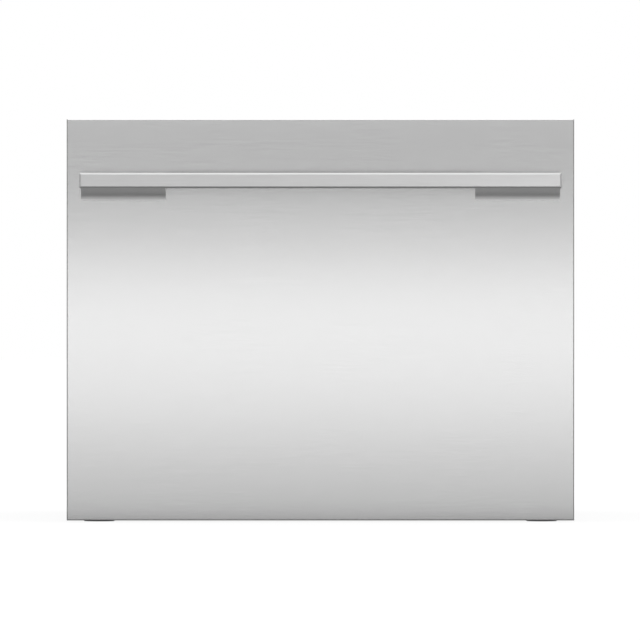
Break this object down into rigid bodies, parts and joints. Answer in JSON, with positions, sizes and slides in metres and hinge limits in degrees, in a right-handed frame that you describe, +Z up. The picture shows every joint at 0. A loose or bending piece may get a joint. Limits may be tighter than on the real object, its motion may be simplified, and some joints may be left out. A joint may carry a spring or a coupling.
{
  "type": "dishwasher drawer",
  "caption": "Built-in single-drawer dishwasher with a flat brushed steel front, a long bar handle, a sliding tub with basket and spray arm, and a lid that lowers onto it.",
  "frame": {"origin": "on the floor, below the middle of the appliance's bounding box", "axes": "+X to the user's right, -Y out of the front, +Z up; the drawer is closed and the lid is up"},
  "size_m": [0.599, 0.619, 0.476],
  "materials": {
    "steel_face": "fine horizontal brushing",
    "steel_bright": "satin",
    "galvanised": "dull galvanised sheet",
    "zinc": "zinc plated",
    "tub_plastic": "moulded, light grey",
    "frame_plastic": "moulded, pale grey",
    "dark_plastic": "moulded, charcoal",
    "grey_plastic": "moulded, mid grey",
    "wire_coat": "thick plastic coat",
    "rubber": "soft seal",
    "pad": "bitumen sheet",
    "white_plastic": "moulded",
    "blue_plastic": "moulded",
    "copper": "enamelled winding",
    "ptfe": "acetal"
  },
  "bodies": {
    "cabinet": {"cabinet_wrapper": "galvanised", "rear_panel": "galvanised", "base_tray": "dark_plastic", "front_gasket": "rubber", "cabinet_screws": "zinc", "outer_rails": "zinc", "lift_guides": "dark_plastic", "lift_motors": "zinc", "service_pocket": "dark_plastic", "inlet_valve": "white_plastic", "power_module": "dark_plastic"},
    "drawer": {"front_panel": "steel_face", "sound_pad": "pad", "handle_bar": "steel_bright", "handle_posts": "steel_bright", "drawer_screws": "zinc", "front_frame": "frame_plastic", "control_fascia": "dark_plastic", "tub": "tub_plastic", "sump": "dark_plastic", "motor_stator": "copper", "heater_plate": "steel_bright", "filter_plate": "steel_bright", "basket": "wire_coat", "plate_tines": "wire_coat", "basket_clips": "grey_plastic", "cutlery_basket": "grey_plastic", "dispenser": "frame_plastic", "fan_housing": "dark_plastic", "inner_rails": "zinc"},
    "left_middle_member": {"left_middle_rail": "zinc"},
    "right_middle_member": {"right_middle_rail": "zinc"},
    "outer_cages": {"outer_ball_cages": "steel_bright"},
    "inner_cages": {"inner_ball_cages": "steel_bright"},
    "lid": {"lid_panel": "tub_plastic", "lid_seal": "rubber", "lift_racks": "white_plastic"},
    "left_pinion": {"left_lift_pinion": "ptfe"},
    "right_pinion": {"right_lift_pinion": "ptfe"},
    "spray": {"spray_arm": "grey_plastic"},
    "pump_rotor": {"wash_rotor": "dark_plastic"},
    "dryer_rotor": {"fan_rotor": "dark_plastic"},
    "drain_sieve": {"drain_filter": "grey_plastic"},
    "left_rack": {"left_cup_rack": "grey_plastic"},
    "right_rack": {"right_cup_rack": "grey_plastic"},
    "left_comb": {"left_fold_tines": "wire_coat"},
    "right_comb": {"right_fold_tines": "wire_coat"},
    "flap": {"dispenser_flap": "white_plastic"},
    "rinse_cap": {"rinse_aid_cap": "blue_plastic"},
    "power_key": {"power_button": "white_plastic"},
    "program_key": {"program_button": "white_plastic"},
    "start_key": {"start_button": "white_plastic"},
    "foot_front_left": {"front_left_foot": "dark_plastic"},
    "foot_front_right": {"front_right_foot": "dark_plastic"},
    "foot_rear_left": {"rear_left_foot": "dark_plastic"},
    "foot_rear_right": {"rear_right_foot": "dark_plastic"},
    "rear_arm": {"rear_link_arm": "dark_plastic", "rear_link_hoses": "rubber"},
    "front_arm": {"front_link_arm": "dark_plastic", "front_link_hoses": "rubber"}
  },
  "joints": [
    {"name": "drawer_slide", "type": "slide", "parent": "cabinet", "child": "drawer", "axis": [0, -1, 0], "range_m": [0, 0.51]},
    {"name": "left_middle_slide", "type": "slide", "parent": "cabinet", "child": "left_middle_member", "axis": [0, -1, 0], "range_m": [0, 0.255]},
    {"name": "right_middle_slide", "type": "slide", "parent": "cabinet", "child": "right_middle_member", "axis": [0, -1, 0], "range_m": [0, 0.255]},
    {"name": "outer_cage_slide", "type": "slide", "parent": "cabinet", "child": "outer_cages", "axis": [0, -1, 0], "range_m": [0, 0.1275]},
    {"name": "inner_cage_slide", "type": "slide", "parent": "cabinet", "child": "inner_cages", "axis": [0, -1, 0], "range_m": [0, 0.3825]},
    {"name": "lid_lift", "type": "slide", "parent": "cabinet", "child": "lid", "axis": [0, 0, -1], "range_m": [0, 0.012]},
    {"name": "left_pinion_turn", "type": "hinge", "parent": "cabinet", "child": "left_pinion", "pos_m": [-0.284, 0.033, 0.437], "axis": [1, 0, 0], "range_deg": [-98.3, 0]},
    {"name": "right_pinion_turn", "type": "hinge", "parent": "cabinet", "child": "right_pinion", "pos_m": [0.284, 0.033, 0.437], "axis": [1, 0, 0], "range_deg": [-98.3, 0]},
    {"name": "spray_arm_turn", "type": "hinge", "parent": "drawer", "child": "spray", "pos_m": [0, 0.033, 0.137], "axis": [0, 0, 1], "continuous": true},
    {"name": "pump_turn", "type": "hinge", "parent": "drawer", "child": "pump_rotor", "pos_m": [0, 0.033, 0.08], "axis": [0, 0, 1], "continuous": true},
    {"name": "fan_turn", "type": "hinge", "parent": "drawer", "child": "dryer_rotor", "pos_m": [0.19, -0.2235, 0.33], "axis": [0, 1, 0], "continuous": true},
    {"name": "drain_filter_turn", "type": "hinge", "parent": "drawer", "child": "drain_sieve", "pos_m": [0, -0.04, 0.11], "axis": [0, 0, 1], "range_deg": [0, 60]},
    {"name": "left_cup_rack_fold", "type": "hinge", "parent": "drawer", "child": "left_rack", "pos_m": [-0.2375, 0.033, 0.295], "axis": [0, -1, 0], "range_deg": [0, 85]},
    {"name": "right_cup_rack_fold", "type": "hinge", "parent": "drawer", "child": "right_rack", "pos_m": [0.2375, 0.033, 0.295], "axis": [0, 1, 0], "range_deg": [0, 85]},
    {"name": "left_tines_fold", "type": "hinge", "parent": "drawer", "child": "left_comb", "pos_m": [-0.1281, 0.033, 0.16635], "axis": [0, -1, 0], "range_deg": [0, 80]},
    {"name": "right_tines_fold", "type": "hinge", "parent": "drawer", "child": "right_comb", "pos_m": [0.1281, 0.033, 0.16635], "axis": [0, 1, 0], "range_deg": [0, 80]},
    {"name": "dispenser_flap_turn", "type": "hinge", "parent": "drawer", "child": "flap", "pos_m": [-0.149, -0.1853, 0.352], "axis": [0, 0, 1], "range_deg": [0, 95]},
    {"name": "rinse_aid_cap_turn", "type": "hinge", "parent": "drawer", "child": "rinse_cap", "pos_m": [-0.036, -0.1875, 0.352], "axis": [0, 1, 0], "range_deg": [0, 90]},
    {"name": "power_button_press", "type": "slide", "parent": "drawer", "child": "power_key", "axis": [0, 0, -1], "range_m": [0, 0.0015], "stiffness_N_per_m": 400, "springref_m": -0.002},
    {"name": "program_button_press", "type": "slide", "parent": "drawer", "child": "program_key", "axis": [0, 0, -1], "range_m": [0, 0.0015], "stiffness_N_per_m": 400, "springref_m": -0.002},
    {"name": "start_button_press", "type": "slide", "parent": "drawer", "child": "start_key", "axis": [0, 0, -1], "range_m": [0, 0.0015], "stiffness_N_per_m": 400, "springref_m": -0.002},
    {"name": "front_left_foot_screw", "type": "slide", "parent": "cabinet", "child": "foot_front_left", "axis": [0, 0, -1], "range_m": [0, 0.02]},
    {"name": "front_right_foot_screw", "type": "slide", "parent": "cabinet", "child": "foot_front_right", "axis": [0, 0, -1], "range_m": [0, 0.02]},
    {"name": "rear_left_foot_screw", "type": "slide", "parent": "cabinet", "child": "foot_rear_left", "axis": [0, 0, -1], "range_m": [0, 0.02]},
    {"name": "rear_right_foot_screw", "type": "slide", "parent": "cabinet", "child": "foot_rear_right", "axis": [0, 0, -1], "range_m": [0, 0.02]},
    {"name": "rear_link_turn", "type": "hinge", "parent": "cabinet", "child": "rear_arm", "pos_m": [0.225, 0.2665, 0.025], "axis": [0, 0, 1], "range_deg": [0, 34.93]},
    {"name": "front_link_turn", "type": "hinge", "parent": "rear_arm", "child": "front_arm", "pos_m": [-0.22494, 0.259, 0.035], "axis": [0, 0, 1], "range_deg": [-69.86, 0]}
  ],
  "couplings": [
    {"joint": "left_middle_slide", "follows": "drawer_slide", "ratio": 0.5},
    {"joint": "right_middle_slide", "follows": "drawer_slide", "ratio": 0.5},
    {"joint": "outer_cage_slide", "follows": "drawer_slide", "ratio": 0.25},
    {"joint": "inner_cage_slide", "follows": "drawer_slide", "ratio": 0.75},
    {"joint": "left_pinion_turn", "follows": "lid_lift", "rad_per_m": -142.86},
    {"joint": "right_pinion_turn", "follows": "lid_lift", "rad_per_m": -142.86},
    {"joint": "rear_link_turn", "follows": "drawer_slide", "rad_per_m": 1.1885},
    {"joint": "front_link_turn", "follows": "drawer_slide", "rad_per_m": -2.3771}
  ]
}
